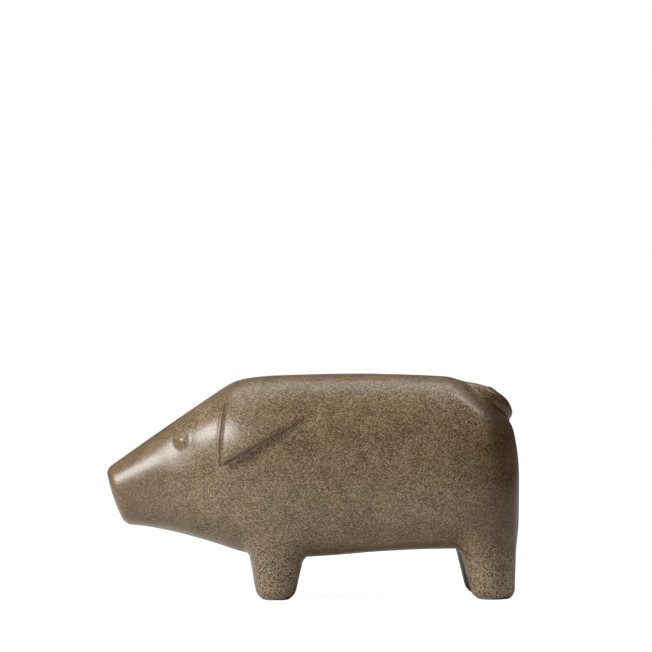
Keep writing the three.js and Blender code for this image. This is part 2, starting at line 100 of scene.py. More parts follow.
def round_union(a: np.ndarray, b: np.ndarray, radius: float) -> np.ndarray:
    """Joins two fields.

    Args:
        a: one field's values.
        b: the other's.
        radius: the fillet along the line where they meet.

    Returns:
        The joined field's values.
    """
    least = np.minimum(a, b)
    near = np.hypot(np.maximum(radius - a, 0), np.maximum(radius - b, 0))
    return np.where((a > radius) | (b > radius), least, np.maximum(radius, least) - near)


def round_cut(a: np.ndarray, b: np.ndarray, radius: float) -> np.ndarray:
    """Keeps what is inside both fields, with the edge between them rounded to the radius."""
    return -round_union(-a, -b, radius)


def superellipse(
    across: np.ndarray, up: np.ndarray, half_across: np.ndarray, half_up: np.ndarray, squareness: np.ndarray
) -> np.ndarray:
    """Distance from a superellipse's outline along the ray from its middle.

    Args:
        across: place across the section, from its middle.
        up: place up the section, from its middle.
        half_across: half its width.
        half_up: half its height.
        squareness: 2 for an ellipse, more for a squarer one.

    Returns:
        The distance, negative inside.
    """
    u = np.abs(across) / half_across
    v = np.abs(up) / half_up
    reach = np.maximum((u**squareness + v**squareness) ** (1 / squareness), LEAST_REACH)
    distance = np.hypot(across, up) * (1 - 1 / reach)
    return np.where(reach < CORE_REACH, -np.minimum(half_across, half_up), distance)


def left_of(start: np.ndarray, end: np.ndarray, x: np.ndarray, z: np.ndarray) -> np.ndarray:
    """Distance to the left of a line between two (x, z) points, negative on the right."""
    dx, dz = end - start
    return ((z - start[1]) * dx - (x - start[0]) * dz) / math.hypot(dx, dz)


# The pig's forms, each with its sizes in millimetres

@dataclass(frozen=True)
class Trunk:
    """Head and body as one barrel with superellipse sections."""

    length: float = 250
    height: float = 135
    width: float = 98
    widest_level: float = 0.46
    back: Profile = Profile((
        (-0.06, 0.497), (0.0, 0.575), (0.12, 0.732), (0.255, 0.903), (0.305, 0.96),
        (0.36, 0.984), (0.47, 0.995), (0.64, 1.0), (0.8, 0.991), (1.06, 0.955),
    ))
    under: Profile = Profile((
        (-0.06, 0.334), (0.08, 0.319), (0.16, 0.293), (0.25, 0.248), (0.34, 0.197),
        (0.43, 0.177), (0.53, 0.184), (0.66, 0.203), (0.8, 0.214), (1.06, 0.214),
    ))
    flank: Profile = Profile((
        (-0.06, 0.235), (0.02, 0.355), (0.15, 0.57), (0.25, 0.765), (0.32, 0.9),
        (0.39, 0.975), (0.5, 1.0), (0.75, 1.0), (1.06, 0.95),
    ))
    squareness: Profile = Profile(((-0.06, 2.1), (0.1, 2.2), (0.35, 2.6), (0.6, 2.8), (1.06, 2.8)))

    def along(self, share: float) -> float:
        """Place along X of a share of the length from the snout."""
        return (share - 0.5) * self.length

    def place(self, share: float, level: float) -> np.ndarray:
        """Point (x, z) of the side view from shares of the length and the height."""
        return np.array([self.along(share), level * self.height])

    def at(self, x: np.ndarray, y: np.ndarray, z: np.ndarray) -> np.ndarray:
        """Reads the barrel's field.

        Args:
            x: along the pig.
            y: across it.
            z: up.

        Returns:
            The field, negative inside.
        """
        share = x / self.length + 0.5
        top = self.back.at(share) * self.height
        bottom = self.under.at(share) * self.height
        middle = bottom + self.widest_level * (top - bottom)
        half_up = np.where(z > middle, top - middle, middle - bottom)
        half_across = self.flank.at(share) * self.width / 2
        return superellipse(y, z - middle, half_across, half_up, self.squareness.at(share))

    def skin_beside(self, x: float, z: float) -> np.ndarray:
        """The flank's point at a place of the side view, found by halving.

        Args:
            x: along the pig.
            z: up.

        Returns:
            The point on the far flank, as (x, y, z).
        """
        inside, outside = 0.0, self.width
        for _ in range(HALVINGS):
            y = (inside + outside) / 2
            if self.at(np.array(x), np.array(y), np.array(z)) < 0:
                inside = y
            else:
                outside = y
        return np.array([x, inside, z])


@dataclass(frozen=True)
class Snout:
    """The flat disc in front, leaning back under its upper edge, with two shallow nostrils."""

    lean: float = math.radians(18)
    level: float = 0.455
    setback: float = 3.6
    dome_radius: float = 95
    edge_radius: float = 3.4
    nostril_radius: float = 3.1
    nostril_depth: float = 2.6
    nostril_spacing: float = 13
    nostril_edge_power: float = 3

    def at(self, trunk: Trunk, x: np.ndarray, y: np.ndarray, z: np.ndarray) -> np.ndarray:
        """Reads the field that cuts the barrel off in front.

        Args:
            trunk: the barrel.
            x: along the pig.
            y: across it.
            z: up.

        Returns:
            The field, negative behind the disc.
        """
        dx = x + trunk.length / 2 - self.setback
        dz = z - self.level * trunk.height
        outward = -dx * math.cos(self.lean) - dz * math.sin(self.lean)
        up = dz * math.cos(self.lean) - dx * math.sin(self.lean)
        from_nostril = np.hypot(np.abs(y) - self.nostril_spacing / 2, up) / self.nostril_radius
        dome = (y * y + up * up) / (2 * self.dome_radius)
        return outward + dome + self.nostril_depth * np.exp(-(from_nostril**self.nostril_edge_power))


@dataclass(frozen=True)
class Rump:
    """The bowed back wall, and the slope under the tail that takes its upper edge away."""

    level: float = 0.53
    bow_radius: float = 128
    taper_radius: float = 1400
    plan_radius: float = 150
    corner_radius: float = 15
    slope_start: float = 0.856
    slope_angle: float = math.radians(38.5)
    slope_plan_radius: float = 105
    slope_edge_radius: float = 5

    def wall(self, trunk: Trunk, x: np.ndarray, y: np.ndarray, z: np.ndarray) -> np.ndarray:
        """Reads the back wall's field.

        Args:
            trunk: the barrel.
            x: along the pig.
            y: across it.
            z: up.

        Returns:
            The field, negative in front of the wall.
        """
        rise = z - self.level * trunk.height
        radius = np.where(rise > 0, self.bow_radius, self.taper_radius)
        return x - trunk.length / 2 + rise * rise / (2 * radius) + y * y / (2 * self.plan_radius)

    def origin(self, trunk: Trunk) -> np.ndarray:
        """Point (x, z) where the slope leaves the back."""
        level = float(trunk.back.at(np.array(self.slope_start)))
        return trunk.place(self.slope_start, level)

    def slope(self, trunk: Trunk, x: np.ndarray, y: np.ndarray, z: np.ndarray) -> np.ndarray:
        """Reads the slope's field.

        Args:
            trunk: the barrel.
            x: along the pig.
            y: across it.
            z: up.

        Returns:
            The field, negative under the slope.
        """
        start = self.origin(trunk)
        out = (x - start[0]) * math.sin(self.slope_angle) + (z - start[1]) * math.cos(self.slope_angle)
        return out + y * y / (2 * self.slope_plan_radius)


class LegPair(Enum):
    """The two pairs, as (front, back, spread in front, spread behind) of a leg's column."""

    FRONT = (0.363, 0.452, 0.17, 0.23)
    HIND = (0.881, 1.03, 0.25, 0.0)


@dataclass(frozen=True)
class Legs:
    """Tapered legs with rounded toes and flat soles."""

    width: float = 28
    width_spread: float = 0.05
    spacing: float = 53
    top: float = 75
    fillet_radius: float = 6
    squareness: float = 2.4
    toe_radius: float = 6.5
    sole_cut: float = 0.5

    def at(self, trunk: Trunk, pair: LegPair, x: np.ndarray, y: np.ndarray, z: np.ndarray) -> np.ndarray:
        """Reads the field of one pair's columns.

        Args:
            trunk: the barrel.
            pair: front or hind legs.
            x: along the pig.
            y: across it.
            z: up.

        Returns:
            The field, negative inside a column.
        """
        front, back, spread_front, spread_back = pair.value
        fore = trunk.along(front) - spread_front * z
        aft = trunk.along(back) + spread_back * z
        half_width = (self.width + self.width_spread * z) / 2
        offset = np.abs(y) - self.spacing / 2
        column = superellipse(x - (fore + aft) / 2, offset, (aft - fore) / 2, half_width, self.squareness)
        return round_cut(column, z - self.top, self.fillet_radius)


@dataclass(frozen=True)
class Ears:
    """Flaps that hang from the top of the head, thickest at the tip, with a groove along their edges."""

    tip: tuple[float, float] = (0.273, 0.593)
    top: tuple[float, float] = (0.289, 0.905)
    rear: tuple[float, float] = (0.482, 0.812)
    root_top: tuple[float, float] = (0.287, 0.95)
    root_rear: tuple[float, float] = (0.56, 0.82)
    bow_radius: float = 130
    thickness: float = 6.5
    sink: float = 1.2
    tip_radius: float = 3
    rim_radius: float = 3.2
    crease_radius: float = 2.4
    groove_depth: float = 0.9
    groove_width: float = 0.9
    groove_inset: float = 0.3
    groove_fade: float = 3

    def bow_centre(self, trunk: Trunk) -> np.ndarray:
        """Finds the circle that the front edge follows.

        Args:
            trunk: the barrel.

        Returns:
            The circle's middle, as (x, z).
        """
        tip, top = trunk.place(*self.tip), trunk.place(*self.top)
        dx, dz = top - tip
        chord = math.hypot(dx, dz)
        back = math.sqrt(self.bow_radius**2 - chord**2 / 4) / chord
        return (tip + top) / 2 + np.array([back * dz, -back * dx])

    def outline(self, trunk: Trunk, x: np.ndarray, z: np.ndarray) -> np.ndarray:
        """Reads the ear's outline in the side view.

        Args:
            trunk: the barrel.
            x: along the pig.
            z: up.

        Returns:
            Distance from the front and lower edges, negative inside.
        """
        centre = self.bow_centre(trunk)
        front_edge = np.hypot(x - centre[0], z - centre[1]) - self.bow_radius
        lower_edge = -left_of(trunk.place(*self.tip), trunk.place(*self.rear), x, z)
        return round_cut(front_edge, lower_edge, self.tip_radius)

    def drop(self, trunk: Trunk, x: np.ndarray, z: np.ndarray) -> np.ndarray:
        """Measures how far down the ear a place is.

        Args:
            trunk: the barrel.
            x: along the pig.
            z: up.

        Returns:
            The share of the way from the root line to the tip, from 0 to 1.
        """
        root = trunk.place(*self.root_top), trunk.place(*self.root_rear)
        full = -left_of(*root, *trunk.place(*self.tip))
        return np.clip(-left_of(*root, x, z) / full, 0, 1)

    def groove(self, trunk: Trunk, x: np.ndarray, z: np.ndarray) -> np.ndarray:
        """How far the skin sinks in the groove just inside the ear's edges."""
        beside = np.exp(-(((self.outline(trunk, x, z) + self.groove_inset) / self.groove_width) ** 2))
        return self.groove_depth * beside * np.clip(self.groove_fade * self.drop(trunk, x, z), 0, 1)

    def at(self, trunk: Trunk, x: np.ndarray, z: np.ndarray, barrel: np.ndarray) -> np.ndarray:
        """Reads the flap's field.

        Args:
            trunk: the barrel.
            x: along the pig.
            z: up.
            barrel: the barrel's field there.

        Returns:
            The field, negative inside the flap.
        """
        drop = self.drop(trunk, x, z)
        thickness = -self.sink + (self.thickness + self.sink) * drop * (2 - drop)
        return round_cut(self.outline(trunk, x, z), barrel - thickness, self.rim_radius)


@dataclass(frozen=True)
class Eyes:
    """Low round domes in shallow sockets."""

    place: tuple[float, float] = (0.181, 0.71)
    radius: float = 5.0
    height: float = 1.1
    crease_radius: float = 2.4
    socket_place: tuple[float, float] = (0.173, 0.66)
    socket_radius: float = 11
    socket_depth: float = 1.1
    socket_edge_power: float = 3

    def ball(self, trunk: Trunk) -> np.ndarray:
        """Places the far eye's ball behind the cheek's skin.

        Args:
            trunk: the barrel.

        Returns:
            The ball's middle, as (x, y, z).
        """
        skin = trunk.skin_beside(*trunk.place(*self.place))
        normal = gradient(trunk.at, *skin)
        return skin + normal / np.linalg.norm(normal) * (self.height - self.radius)

    def socket(self, middle: np.ndarray, x: np.ndarray, side: np.ndarray, z: np.ndarray) -> np.ndarray:
        """Reads the socket's depth.

        Args:
            middle: the socket's middle on the skin.
            x: along the pig.
            side: away from the pig's middle plane.
            z: up.

        Returns:
            How far the skin sinks there.
        """
        squared = (x - middle[0]) ** 2 + (side - middle[1]) ** 2 + (z - middle[2]) ** 2
        near = (squared / self.socket_radius**2) ** (self.socket_edge_power / 2)
        return self.socket_depth * np.exp(-near)


@dataclass(frozen=True)
class Tail:
    """A rope that leaves the end of the back and winds into a curl on the slope."""

    root_radius: float = 5.5
    tip_radius: float = 4
    down_slope: float = 26
    radius: float = 11.5
    pitch: float = 5.5
    turns: float = 1.2
    lift: float = 2.5
    rise: float = 0.8
    bend_radius: float = 14
    lead_in_length: float = 15
    lead_in_depth: float = 12.6
    lead_in_turn: float = 0.46
    steps: int = 48
    crease_radius: float = 1.6
    margin: float = 8

    def line(self, trunk: Trunk, rump: Rump) -> np.ndarray:
        """Works out the rope's middle line.

        Args:
            trunk: the barrel.
            rump: the slope that the curl lies on.

        Returns:
            Rows of x, y, z and the rope's radius.
        """
        turn = np.linspace(0, self.turns * 2 * math.pi, self.steps + 1)
        turned = turn / (2 * math.pi)
        lead_in = np.exp(-turn / self.lead_in_turn)
        reach = self.radius - self.pitch * turned + self.lead_in_length * lead_in
        down = self.down_slope - reach * np.cos(turn)
        bend = np.maximum(down - self.down_slope, 0) ** 2 / (2 * self.bend_radius)
        out = self.lift + self.rise * turned - self.lead_in_depth * lead_in - bend
        cosine, sine = math.cos(rump.slope_angle), math.sin(rump.slope_angle)
        start = rump.origin(trunk)
        thickness = self.root_radius + (self.tip_radius - self.root_radius) * turned / self.turns
        x = start[0] + down * cosine + out * sine
        z = start[1] - down * sine + out * cosine
        return np.stack([x, -reach * np.sin(turn), z, thickness], axis=1)

    def at(self, line: np.ndarray, x: np.ndarray, y: np.ndarray, z: np.ndarray) -> np.ndarray:
        """Reads the rope's field.

        Args:
            line: the rope's middle line.
            x: along the pig.
            y: across it.
            z: up.

        Returns:
            The field, negative inside the rope. Away from the rope it is the margin.
        """
        x, y, z = np.broadcast_arrays(x, y, z)
        points = np.stack([x, y, z], axis=-1)
        reach = self.root_radius + self.margin
        low, high = line[:, :3].min(axis=0) - reach, line[:, :3].max(axis=0) + reach
        near = ((points > low) & (points < high)).all(axis=-1)
        close = points[near]
        nearest = np.full(len(close), self.margin, dtype=float)
        for start, end in zip(line[:-1], line[1:]):
            step = end[:3] - start[:3]
            from_start = close - start[:3]
            share = np.clip(from_start @ step / (step @ step), 0, 1)
            gap = np.linalg.norm(from_start - share[:, None] * step, axis=1)
            nearest = np.minimum(nearest, gap - start[3] - share * (end[3] - start[3]))
        distance = np.full(x.shape, self.margin, dtype=float)
        distance[near] = nearest
        return distance


def gradient(shape: Field, x: np.ndarray, y: np.ndarray, z: np.ndarray, step: float = 0.05) -> np.ndarray:
    """Measures a field's gradient by central differences.

    Args:
        shape: the field.
        x: along the pig.
        y: across it.
        z: up.
        step: distance to each side.

    Returns:
        The gradient, with its three parts on the last axis.
    """
    parts = (
        shape(x + step, y, z) - shape(x - step, y, z),
        shape(x, y + step, z) - shape(x, y - step, z),
        shape(x, y, z + step) - shape(x, y, z - step),
    )
    return np.stack(parts, axis=-1) / (2 * step)


def fill_checkers(values: np.ndarray) -> np.ndarray:
    """Fills grid faces whose corners lie in and out by turns, where the mesh would touch itself.

    Args:
        values: the field on a grid.

    Returns:
        The field, with the nearer outer corner of each such face set just inside.
    """
    filled = values.copy()
    found = True
    while found:
        found = False
        for axis in range(3):
            grid = np.moveaxis(filled, axis, 0)
            corners = [grid[:, :-1, :-1], grid[:, 1:, :-1], grid[:, 1:, 1:], grid[:, :-1, 1:]]
            for turn in (0, 1):
                a, b, c, d = (corners[(turn + step) % 4] for step in range(4))
                checker = (a < 0) & (c < 0) & (b >= 0) & (d >= 0)
                found = found or bool(checker.any())
                fill_b = checker & (b <= d)
                fill_d = checker & ~fill_b
                b[fill_b] = JUST_INSIDE
                d[fill_d] = JUST_INSIDE
    return filled


def skin_cells(values: np.ndarray) -> tuple[np.ndarray, np.ndarray]:
    """Finds a field's zero level as quads, with one vertex in each grid cell that it passes through.

    Args:
        values: the field on a grid.

    Returns:
        The vertices in grid steps, and the quads as rows of four vertex numbers, facing out.
    """
    inside = values < 0
    cells = tuple(size - 1 for size in values.shape)
    total = np.zeros(cells + (3,))
    count = np.zeros(cells)
    for axis in range(3):
        first = np.moveaxis(values, axis, 0)
        mixed = np.moveaxis(inside, axis, 0)
        crossed = mixed[:-1] != mixed[1:]
        share = np.where(crossed, first[:-1] / np.where(crossed, first[:-1] - first[1:], 1), 0)
        into_total = np.moveaxis(total, axis, 0)
        into_count = np.moveaxis(count, axis, 0)
        others = [other for other in range(3) if other != axis]
        for u in (0, 1):
            for v in (0, 1):
                here = (slice(None), slice(u, u + cells[others[0]]), slice(v, v + cells[others[1]]))
                hit = crossed[here]
                into_count += hit
                into_total[..., axis] += share[here]
                into_total[..., others[0]] += u * hit
                into_total[..., others[1]] += v * hit
    used = count > 0
    number = np.full(cells, -1)
    number[used] = np.arange(used.sum())
    vertices = np.argwhere(used) + total[used] / count[used][:, None]
    quads = []
    for axis in range(3):
        order = (axis, (axis + 1) % 3, (axis + 2) % 3)
        mixed = inside.transpose(order)
        cell = number.transpose(order)
        starts = mixed[:-1, 1:-1, 1:-1]
        ends = mixed[1:, 1:-1, 1:-1]
        around = np.stack([cell[:, :-1, :-1], cell[:, 1:, :-1], cell[:, 1:, 1:], cell[:, :-1, 1:]], axis=-1)
        quads.append(around[starts & ~ends])
        quads.append(around[~starts & ends][:, ::-1])
    return vertices, np.concatenate(quads)


# The finish

def linear(red: int, green: int, blue: int) -> tuple[float, float, float, float]:
    """Turns a display colour of 0 to 255 into a shader's linear colour, by the sRGB curve.

    Args:
        red: the display value.
        green: the display value.
        blue: the display value.

    Returns:
        The linear colour with alpha 1.
    """
    parts = [part / 255 for part in (red, green, blue)]
    turned = [part / 12.92 if part <= 0.04045 else ((part + 0.055) / 1.055) ** 2.4 for part in parts]
    return (*turned, 1.0)


class Nodes:
    """Adds nodes to one tree and links them."""

    def __init__(self, tree: bpy.types.NodeTree) -> None:
        """Keeps the tree, emptied."""
        self.tree = tree
        self.tree.nodes.clear()

    def add(
        self, kind: str, inputs: dict[str | int, object] | None = None, **settings: object
    ) -> bpy.types.Node:
        """Adds a node.

        Args:
            kind: the node's type name.
            inputs: value or source socket for each input, by name or number.
            settings: the node's own properties.

        Returns:
            The node.
        """
        node = self.tree.nodes.new(kind)
        for name, value in settings.items():
            setattr(node, name, value)
        for name, value in (inputs or {}).items():
            if isinstance(value, bpy.types.NodeSocket):
                self.tree.links.new(value, node.inputs[name])
            else:
                node.inputs[name].default_value = value
        return node

    def math(self, operation: str, *values: object) -> bpy.types.NodeSocket:
        """Adds a math node on the given values or sockets and returns its result."""
        return self.add("ShaderNodeMath", dict(enumerate(values)), operation=operation).outputs[0]

    def ramp(
        self, value: bpy.types.NodeSocket, start: float, end: float, low: float = 0.0, high: float = 1.0
    ) -> bpy.types.NodeSocket:
        """Maps a value smoothly, from low at start to high at end."""
        inputs = {"Value": value, "From Min": start, "From Max": end, "To Min": low, "To Max": high}
        return self.add("ShaderNodeMapRange", inputs, interpolation_type="SMOOTHSTEP").outputs["Result"]

    def noise(self, place: bpy.types.NodeSocket, scale: float, detail: float = 2.0) -> bpy.types.NodeSocket:
        """Adds noise from 0 to 1, with its scale in cycles for each metre."""
        return self.add("ShaderNodeTexNoise", {"Vector": place, "Scale": scale, "Detail": detail}).outputs[0]

    def blend(self, share: object, first: object, second: object, mode: str = "MIX") -> bpy.types.NodeSocket:
        """Blends two colours or their sockets, by the second one's share."""
        # The node's inputs 6 and 7 and its output 2 are the colours
        node = self.add("ShaderNodeMix", {0: share, 6: first, 7: second}, data_type="RGBA", blend_type=mode)
        return node.outputs[2]


@dataclass(frozen=True)
class SpeckledGlaze:
    """Satin stoneware glaze: tan and brown grains, soft clouds and pits, with painted shade on the rump, the
    tail, the snout's side and the crease around each ear.

    A zone is a place along the pig or up where its look starts, and one where it is full, in metres.
    """

    dark: tuple[int, int, int] = (72, 54, 34)
    middle: tuple[int, int, int] = (110, 90, 63)
    light: tuple[int, int, int] = (160, 139, 107)
    # Warmer snout colour, made darker as painted shade on the snout's side.
    warm_shaded_snout: tuple[int, int, int] = (106, 82, 56)
    foot: tuple[int, int, int] = (184, 164, 132)
    # Colour multiplied in as painted shade on the rump's side and the tail.
    painted_shade: tuple[int, int, int] = (186, 164, 124)
    # Colour of the pits, and of the painted shade in the crease around each ear.
    pit_and_crease_shade: tuple[int, int, int] = (40, 28, 18)
    clay: tuple[int, int, int] = (176, 158, 130)
    grain_scale: float = 2100
    cell_scale: float = 1700
    cloud_scale: float = 80
    pit_scale: float = 680
    # Width and start of the painted shade in the crease around each ear.
    crease_shade_width: float = 0.9 * MM
    crease_shade_start: tuple[float, float] = (4 * MM, 16 * MM)
    foot_zone: tuple[float, float] = (0.036, 0.008)
    foot_pits: tuple[float, float] = (0.05, 0.02)
    # Where the painted shade on the rump's side starts and where it is full, along the pig.
    rump_shade_zone: tuple[float, float] = (0.07, 0.115)
    rump_pits: tuple[float, float] = (0.04, 0.085)
    # Where the painted shade on the rump starts above the foot and ends below the back, and where it covers
    # the tail.
    rump_shade_foot: tuple[float, float] = (0.018, 0.045)
    rump_shade_top: tuple[float, float] = (0.112, 0.09)
    tail_shade_zone: tuple[float, float] = (0.096, 0.108)
    warm_shaded_snout_zone: tuple[float, float] = (-0.06, -0.12)
    bare_zone: tuple[float, float] = (0.0008, 0.0003)
    noise_span: tuple[float, float] = (0.3, 0.7)
    warm_shaded_snout_share: float = 0.5
    foot_share: float = 0.22
    rump_pit_share: float = 0.6
    pit_share: float = 0.8
    crease_shade_share: float = 0.75
    cell_share: float = 0.5
    cloud_share: float = 0.1
    stops: tuple[float, float, float] = (0.27, 0.5, 0.73)
    pit_size: tuple[float, float] = (0.14, 0.38)
    pit_edge: tuple[float, float] = (0.1, -0.06)
    pit_chance: tuple[float, float] = (0.2, 0.9)
    pit_chance_edge: float = 0.05
    roughness: tuple[float, float] = (0.36, 0.45)
    bare_roughness: float = 0.85
    grain_height: float = 0.2
    bump_strength: float = 0.3
    bump_distance: float = 0.2 * MM
    coat: float = 0.2
    coat_roughness: float = 0.22

    def material(self, trunk: Trunk, ears: Ears) -> bpy.types.Material:
        """Builds the glaze.

        Args:
            trunk: the barrel that the ears' outline is measured on.
            ears: the flaps, along whose edges shade is painted into the crease.

        Returns:
            The material, with its pattern on the piece's own coordinates.
        """
        made = bpy.data.materials.new("speckled_glaze")
        made.use_nodes = True
        nodes = Nodes(made.node_tree)
        place = nodes.add("ShaderNodeTexCoord").outputs["Object"]
        parts = nodes.add("ShaderNodeSeparateXYZ", {0: place})
        along, up = parts.outputs["X"], parts.outputs["Z"]
        # Painted shade on the rump's side and the tail, which turn away from the key light.
        upper = nodes.math("MAXIMUM", nodes.ramp(up, *self.rump_shade_top), nodes.ramp(along, *self.tail_shade_zone))
        painted_shade = nodes.math("MULTIPLY", nodes.ramp(up, *self.rump_shade_foot), upper)
        rump = nodes.math("MULTIPLY", nodes.ramp(along, *self.rump_shade_zone), painted_shade)
        # The snout gets a warmer tone, darkened as painted shade on its side.
        snout = nodes.math("MULTIPLY", nodes.ramp(along, *self.warm_shaded_snout_zone), self.warm_shaded_snout_share)
        foot = nodes.math("MULTIPLY", nodes.ramp(up, *self.foot_zone), self.foot_share)

        grain = self.grain(nodes, place)
        colour = self.tones(nodes, place, grain)
        colour = nodes.blend(snout, colour, linear(*self.warm_shaded_snout))
        colour = nodes.blend(foot, colour, linear(*self.foot))
        colour = nodes.blend(rump, colour, linear(*self.painted_shade), "MULTIPLY")
        pitted = nodes.math("MULTIPLY", nodes.ramp(along, *self.rump_pits), self.rump_pit_share)
        pits = self.pits(nodes, place, nodes.math("MAXIMUM", nodes.ramp(up, *self.foot_pits), pitted))
        # Painted shade: the crease around each ear is darkened like the pits.
        painted_crease_shade = nodes.math("MULTIPLY", self.painted_crease_shade(nodes, along, up, trunk, ears), self.crease_shade_share)
        dark = nodes.math("MAXIMUM", nodes.math("MULTIPLY", pits, self.pit_share), painted_crease_shade)
        colour = nodes.blend(dark, colour, linear(*self.pit_and_crease_shade))
        bare = nodes.ramp(up, *self.bare_zone)
        colour = nodes.blend(bare, colour, linear(*self.clay))

        rough = nodes.ramp(grain, 0.0, 1.0, *self.roughness)
        rough = nodes.math("MAXIMUM", rough, nodes.math("MULTIPLY", bare, self.bare_roughness))
        height = nodes.math("SUBTRACT", nodes.math("MULTIPLY", grain, self.grain_height), pits)
        relief = {"Height": height, "Strength": self.bump_strength, "Distance": self.bump_distance}
        bump = nodes.add("ShaderNodeBump", relief)
        shader = nodes.add("ShaderNodeBsdfPrincipled", {
            "Base Color": colour,
            "Roughness": rough,
            "Normal": bump.outputs[0],
            "Coat Weight": self.coat,
            "Coat Roughness": self.coat_roughness,
        })
        nodes.add("ShaderNodeOutputMaterial", {"Surface": shader.outputs[0]})
        return made

    def grain(self, nodes: Nodes, place: bpy.types.NodeSocket) -> bpy.types.NodeSocket:
        """Mixes fine noise with a random value for each small cell.

        Args:
            nodes: the material's nodes.
            place: the piece's coordinates.

        Returns:
            The grain, from 0 to 1.
        """
        noise = nodes.ramp(nodes.noise(place, self.grain_scale), *self.noise_span)
        cells = nodes.add("ShaderNodeTexVoronoi", {"Vector": place, "Scale": self.cell_scale})
        each = nodes.add("ShaderNodeSeparateColor", {0: cells.outputs["Color"]}).outputs[0]
        noise = nodes.math("MULTIPLY", noise, 1 - self.cell_share)
        return nodes.math("MULTIPLY_ADD", each, self.cell_share, noise)

    def tones(
        self, nodes: Nodes, place: bpy.types.NodeSocket, grain: bpy.types.NodeSocket
    ) -> bpy.types.NodeSocket:
        """Colours the grain, a little lighter and darker in soft clouds.

        Args:
            nodes: the material's nodes.
            place: the piece's coordinates.
            grain: the grain, from 0 to 1.

        Returns:
            The colour.
        """
        cloud = nodes.ramp(nodes.noise(place, self.cloud_scale, 3), *self.noise_span)
        grain = nodes.math("MULTIPLY", grain, 1 - self.cloud_share)
        tone = nodes.math("MULTIPLY_ADD", cloud, self.cloud_share, grain)
        colours = nodes.add("ShaderNodeValToRGB", {0: tone})
        stops = colours.color_ramp.elements
        stops[0].position, middle, stops[1].position = self.stops
        stops[0].color = linear(*self.dark)
        stops[1].color = linear(*self.light)
        stops.new(middle).color = linear(*self.middle)
        return colours.outputs[0]

    def pits(
        self, nodes: Nodes, place: bpy.types.NodeSocket, zone: bpy.types.NodeSocket
    ) -> bpy.types.NodeSocket:
        """Scatters dark pits, larger and closer in the given zone.

        Args:
            nodes: the material's nodes.
            place: the piece's coordinates.
            zone: 1 where the pits are close, 0 where they are rare.

        Returns:
            1 in a pit, 0 beside it.
        """
        cells = nodes.add("ShaderNodeTexVoronoi", {"Vector": place, "Scale": self.pit_scale})
        each = nodes.add("ShaderNodeSeparateColor", {0: cells.outputs["Color"]}).outputs[1]
        small, large = self.pit_size
        rare, often = self.pit_chance
        size = nodes.math("MULTIPLY_ADD", zone, large - small, small)
        round_pits = nodes.ramp(nodes.math("SUBTRACT", cells.outputs["Distance"], size), *self.pit_edge)
        share = nodes.math("MULTIPLY_ADD", zone, often - rare, rare)
        chosen = nodes.ramp(nodes.math("SUBTRACT", share, each), 0.0, self.pit_chance_edge)
        return nodes.math("MULTIPLY", round_pits, chosen)

    def painted_crease_shade(
        self, nodes: Nodes, along: bpy.types.NodeSocket, up: bpy.types.NodeSocket, trunk: Trunk, ears: Ears
    ) -> bpy.types.NodeSocket:
        """Finds the crease around each ear, where shade is painted.

        Args:
            nodes: the material's nodes.
            along: place along the pig.
            up: height.
            trunk: the barrel that the ears' outline is measured on.
            ears: the flaps.

        Returns:
            1 in the crease, 0 away from it.
        """
        centre = ears.bow_centre(trunk) * MM
        dx = nodes.math("SUBTRACT", along, centre[0])
        dz = nodes.math("SUBTRACT", up, centre[1])
        squares = nodes.math("ADD", nodes.math("MULTIPLY", dx, dx), nodes.math("MULTIPLY", dz, dz))
        front = nodes.math("SUBTRACT", nodes.math("SQRT", squares), ears.bow_radius * MM)
        tip, rear = trunk.place(*ears.tip), trunk.place(*ears.rear)
        lower = self.right_of(nodes, along, up, tip, rear)
        outline = nodes.math("SMOOTH_MAX", front, lower, ears.tip_radius * MM)
        beside = nodes.ramp(nodes.math("ABSOLUTE", outline), self.crease_shade_width, 0.0)
        below = self.right_of(nodes, along, up, trunk.place(*ears.root_top), trunk.place(*ears.root_rear))
        return nodes.math("MULTIPLY", beside, nodes.ramp(below, *self.crease_shade_start))

    def right_of(
        self, nodes: Nodes, along: bpy.types.NodeSocket, up: bpy.types.NodeSocket,
        start: np.ndarray, end: np.ndarray,
    ) -> bpy.types.NodeSocket:
        """Measures the distance to the right of a line in the side view.

        Args:
            nodes: the material's nodes.
            along: place along the pig.
            up: height.
            start: the line's first point in millimetres, as (x, z).
            end: its second point.

        Returns:
            The distance in metres, negative on the left.
        """
        dx, dz = (end - start) / np.linalg.norm(end - start)
        offset = (start[1] * dx - start[0] * dz) * MM
        return nodes.math("MULTIPLY_ADD", along, dz, nodes.math("MULTIPLY_ADD", up, -dx, offset))


